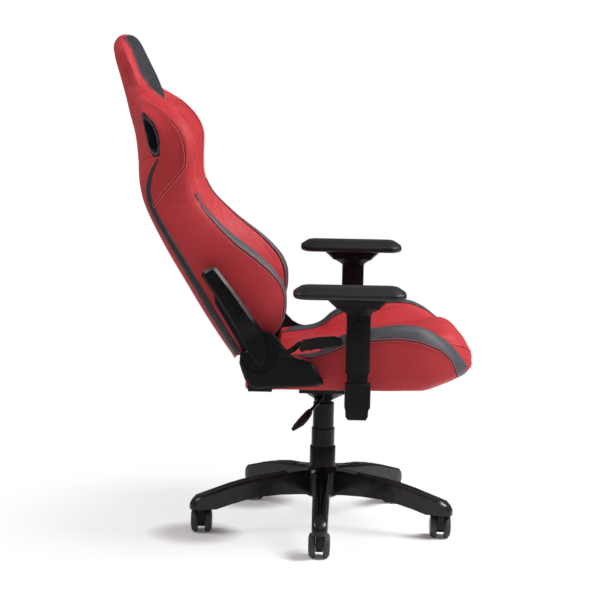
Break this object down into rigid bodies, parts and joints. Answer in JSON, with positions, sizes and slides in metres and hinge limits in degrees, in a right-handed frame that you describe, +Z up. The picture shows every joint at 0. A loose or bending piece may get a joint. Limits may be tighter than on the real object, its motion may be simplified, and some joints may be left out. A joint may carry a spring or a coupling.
{
  "type": "racing-style swivel chair",
  "caption": "Racing-style swivel chair: bucket backrest with harness slots, bolstered seat, adjustable armrests, gas lift and star base on twin-wheel casters.",
  "frame": {"origin": "on the floor, under the middle of the chair's bounding box; the swivel column stands 81 mm in front of it", "axes": "+Z up; the chair faces -Y; the sitter's right side, with the levers, is -X"},
  "size_m": [0.705, 0.8884, 1.217],
  "materials": {
    "base_nylon": "gloss",
    "black_plastic": "satin",
    "black_steel": "satin",
    "bright_steel": "polished",
    "wheel_nylon": "satin",
    "red_upholstery": "satin",
    "black_upholstery": "satin",
    "arm_pad_pu": "matte"
  },
  "bodies": {
    "base": {"star_base": "base_nylon", "lift_outer_tube": "black_steel", "column_cover_lower": "black_plastic"},
    "spindle": {"lift_piston_rod": "bright_steel"},
    "cover_slider": {"column_cover_middle": "black_plastic"},
    "mechanism": {"lift_cylinder": "black_steel", "column_cover_upper": "black_plastic", "mechanism_housing": "black_steel", "tilt_pin": "bright_steel"},
    "knob": {"tension_knob": "black_plastic"},
    "lift_lever": {"height_lever": "black_steel", "height_lever_grip": "black_plastic"},
    "seat": {"seat_plate": "black_steel", "seat_frame": "black_steel", "seat_cushion": "red_upholstery", "side_cover_right": "black_plastic", "side_cover_left": "black_plastic", "hinge_plate_right": "black_steel", "hinge_plate_left": "black_steel", "arm_bracket_right": "black_steel", "arm_bracket_left": "black_steel", "arm_lower_cover_right": "black_plastic", "arm_lower_cover_left": "black_plastic"},
    "back_lever": {"recline_lever": "black_steel", "recline_grip": "black_plastic"},
    "backrest": {"back_frame": "black_steel", "back_cushion": "red_upholstery", "headrest_panel": "black_upholstery", "harness_bezel_right": "black_plastic", "harness_bezel_left": "black_plastic", "back_arm_cover_right": "black_plastic", "back_arm_cover_left": "black_plastic"},
    "slider_right": {"arm_sleeve_right": "black_plastic"},
    "trigger_right": {"arm_trigger_right": "black_plastic"},
    "turntable_right": {"arm_pad_base_right": "black_plastic"},
    "swivel_button_right": {"arm_swivel_button_right": "black_plastic"},
    "pad_right": {"arm_pad_right": "arm_pad_pu"},
    "pad_button_right": {"arm_pad_button_right": "black_plastic"},
    "slider_left": {"arm_sleeve_left": "black_plastic"},
    "trigger_left": {"arm_trigger_left": "black_plastic"},
    "turntable_left": {"arm_pad_base_left": "black_plastic"},
    "swivel_button_left": {"arm_swivel_button_left": "black_plastic"},
    "pad_left": {"arm_pad_left": "arm_pad_pu"},
    "pad_button_left": {"arm_pad_button_left": "black_plastic"},
    "caster_1": {"caster_yoke_1": "black_plastic"},
    "caster_2": {"caster_yoke_2": "black_plastic"},
    "caster_3": {"caster_yoke_3": "black_plastic"},
    "caster_4": {"caster_yoke_4": "black_plastic"},
    "caster_5": {"caster_yoke_5": "black_plastic"},
    "wheel_1_a": {"caster_wheel_1_a": "wheel_nylon"},
    "wheel_1_b": {"caster_wheel_1_b": "wheel_nylon"},
    "wheel_2_a": {"caster_wheel_2_a": "wheel_nylon"},
    "wheel_2_b": {"caster_wheel_2_b": "wheel_nylon"},
    "wheel_3_a": {"caster_wheel_3_a": "wheel_nylon"},
    "wheel_3_b": {"caster_wheel_3_b": "wheel_nylon"},
    "wheel_4_a": {"caster_wheel_4_a": "wheel_nylon"},
    "wheel_4_b": {"caster_wheel_4_b": "wheel_nylon"},
    "wheel_5_a": {"caster_wheel_5_a": "wheel_nylon"},
    "wheel_5_b": {"caster_wheel_5_b": "wheel_nylon"}
  },
  "joints": [
    {"name": "backrest_recline", "type": "hinge", "parent": "seat", "child": "backrest", "pos_m": [0, 0.077, 0.48], "axis": [-1, 0, 0], "range_deg": [-20, 45]},
    {"name": "seat_height", "type": "slide", "parent": "spindle", "child": "mechanism", "axis": [0, 0, 1], "range_m": [-0.08, 0]},
    {"name": "middle_cover_slide", "type": "slide", "parent": "spindle", "child": "cover_slider", "axis": [0, 0, 1], "range_m": [-0.04, 0]},
    {"name": "seat_swivel", "type": "hinge", "parent": "base", "child": "spindle", "pos_m": [0, -0.081, 0.1], "axis": [0, 0, 1], "continuous": true},
    {"name": "seat_tilt", "type": "hinge", "parent": "mechanism", "child": "seat", "pos_m": [0, -0.111, 0.369], "axis": [-1, 0, 0], "range_deg": [0, 12], "stiffness_Nm_per_rad": 200, "springref_deg": -22.92},
    {"name": "height_lever_lift", "type": "hinge", "parent": "mechanism", "child": "lift_lever", "pos_m": [-0.066, -0.069, 0.338], "axis": [0, 1, 0], "range_deg": [0, 10], "stiffness_Nm_per_rad": 3, "springref_deg": -5.73},
    {"name": "recline_lever_lift", "type": "hinge", "parent": "seat", "child": "back_lever", "pos_m": [-0.277, 0.023, 0.484], "axis": [-1, 0, 0], "range_deg": [0, 20], "stiffness_Nm_per_rad": 3, "springref_deg": -11.46},
    {"name": "arm_height_right", "type": "slide", "parent": "seat", "child": "slider_right", "axis": [0, 0, 1], "range_m": [-0.022, 0.055]},
    {"name": "arm_swivel_right", "type": "hinge", "parent": "slider_right", "child": "turntable_right", "pos_m": [-0.305, -0.154, 0.602], "axis": [0, 0, 1], "range_deg": [-15, 15]},
    {"name": "arm_pad_slide_right", "type": "slide", "parent": "turntable_right", "child": "pad_right", "axis": [0, 1, 0], "range_m": [-0.03, 0.01]},
    {"name": "arm_height_left", "type": "slide", "parent": "seat", "child": "slider_left", "axis": [0, 0, 1], "range_m": [-0.061, 0.016]},
    {"name": "arm_swivel_left", "type": "hinge", "parent": "slider_left", "child": "turntable_left", "pos_m": [0.305, -0.154, 0.641], "axis": [0, 0, 1], "range_deg": [-15, 15]},
    {"name": "arm_pad_slide_left", "type": "slide", "parent": "turntable_left", "child": "pad_left", "axis": [0, 1, 0], "range_m": [-0.014, 0.026]},
    {"name": "tension_knob_turn", "type": "hinge", "parent": "mechanism", "child": "knob", "pos_m": [0, -0.171, 0.364], "axis": [0, 1, 0], "range_deg": [-540, 540]},
    {"name": "arm_trigger_press_right", "type": "slide", "parent": "slider_right", "child": "trigger_right", "axis": [1, 0, 0], "range_m": [0, 0.002], "stiffness_N_per_m": 500, "springref_m": -0.002},
    {"name": "arm_swivel_button_press_right", "type": "slide", "parent": "turntable_right", "child": "swivel_button_right", "axis": [-1, 0, 0], "range_m": [0, 0.0015], "stiffness_N_per_m": 500, "springref_m": -0.002},
    {"name": "arm_pad_button_press_right", "type": "slide", "parent": "pad_right", "child": "pad_button_right", "axis": [-1, 0, 0], "range_m": [0, 0.0015], "stiffness_N_per_m": 500, "springref_m": -0.002},
    {"name": "arm_trigger_press_left", "type": "slide", "parent": "slider_left", "child": "trigger_left", "axis": [-1, 0, 0], "range_m": [0, 0.002], "stiffness_N_per_m": 500, "springref_m": -0.002},
    {"name": "arm_swivel_button_press_left", "type": "slide", "parent": "turntable_left", "child": "swivel_button_left", "axis": [1, 0, 0], "range_m": [0, 0.0015], "stiffness_N_per_m": 500, "springref_m": -0.002},
    {"name": "arm_pad_button_press_left", "type": "slide", "parent": "pad_left", "child": "pad_button_left", "axis": [1, 0, 0], "range_m": [0, 0.0015], "stiffness_N_per_m": 500, "springref_m": -0.002},
    {"name": "caster_swivel_1", "type": "hinge", "parent": "base", "child": "caster_1", "pos_m": [-0.30891, -0.07345, 0.062], "axis": [0, 0, 1], "continuous": true},
    {"name": "caster_swivel_2", "type": "hinge", "parent": "base", "child": "caster_2", "pos_m": [-0.10264, -0.37246, 0.062], "axis": [0, 0, 1], "continuous": true},
    {"name": "caster_swivel_3", "type": "hinge", "parent": "base", "child": "caster_3", "pos_m": [0.24547, -0.26868, 0.062], "axis": [0, 0, 1], "continuous": true},
    {"name": "caster_swivel_4", "type": "hinge", "parent": "base", "child": "caster_4", "pos_m": [0.25435, 0.09446, 0.062], "axis": [0, 0, 1], "continuous": true},
    {"name": "caster_swivel_5", "type": "hinge", "parent": "base", "child": "caster_5", "pos_m": [-0.08828, 0.21512, 0.062], "axis": [0, 0, 1], "continuous": true},
    {"name": "wheel_turn_1_a", "type": "hinge", "parent": "caster_1", "child": "wheel_1_a", "pos_m": [-0.29091, -0.07345, 0.03], "axis": [0, 1, 0], "continuous": true},
    {"name": "wheel_turn_1_b", "type": "hinge", "parent": "caster_1", "child": "wheel_1_b", "pos_m": [-0.29091, -0.07345, 0.03], "axis": [0, 1, 0], "continuous": true},
    {"name": "wheel_turn_2_a", "type": "hinge", "parent": "caster_2", "child": "wheel_2_a", "pos_m": [-0.08464, -0.37246, 0.03], "axis": [0, 1, 0], "continuous": true},
    {"name": "wheel_turn_2_b", "type": "hinge", "parent": "caster_2", "child": "wheel_2_b", "pos_m": [-0.08464, -0.37246, 0.03], "axis": [0, 1, 0], "continuous": true},
    {"name": "wheel_turn_3_a", "type": "hinge", "parent": "caster_3", "child": "wheel_3_a", "pos_m": [0.26347, -0.26868, 0.03], "axis": [0, 1, 0], "continuous": true},
    {"name": "wheel_turn_3_b", "type": "hinge", "parent": "caster_3", "child": "wheel_3_b", "pos_m": [0.26347, -0.26868, 0.03], "axis": [0, 1, 0], "continuous": true},
    {"name": "wheel_turn_4_a", "type": "hinge", "parent": "caster_4", "child": "wheel_4_a", "pos_m": [0.27235, 0.09446, 0.03], "axis": [0, 1, 0], "continuous": true},
    {"name": "wheel_turn_4_b", "type": "hinge", "parent": "caster_4", "child": "wheel_4_b", "pos_m": [0.27235, 0.09446, 0.03], "axis": [0, 1, 0], "continuous": true},
    {"name": "wheel_turn_5_a", "type": "hinge", "parent": "caster_5", "child": "wheel_5_a", "pos_m": [-0.07028, 0.21512, 0.03], "axis": [0, 1, 0], "continuous": true},
    {"name": "wheel_turn_5_b", "type": "hinge", "parent": "caster_5", "child": "wheel_5_b", "pos_m": [-0.07028, 0.21512, 0.03], "axis": [0, 1, 0], "continuous": true}
  ],
  "couplings": [
    {"joint": "middle_cover_slide", "follows": "seat_height", "ratio": 0.5}
  ]
}
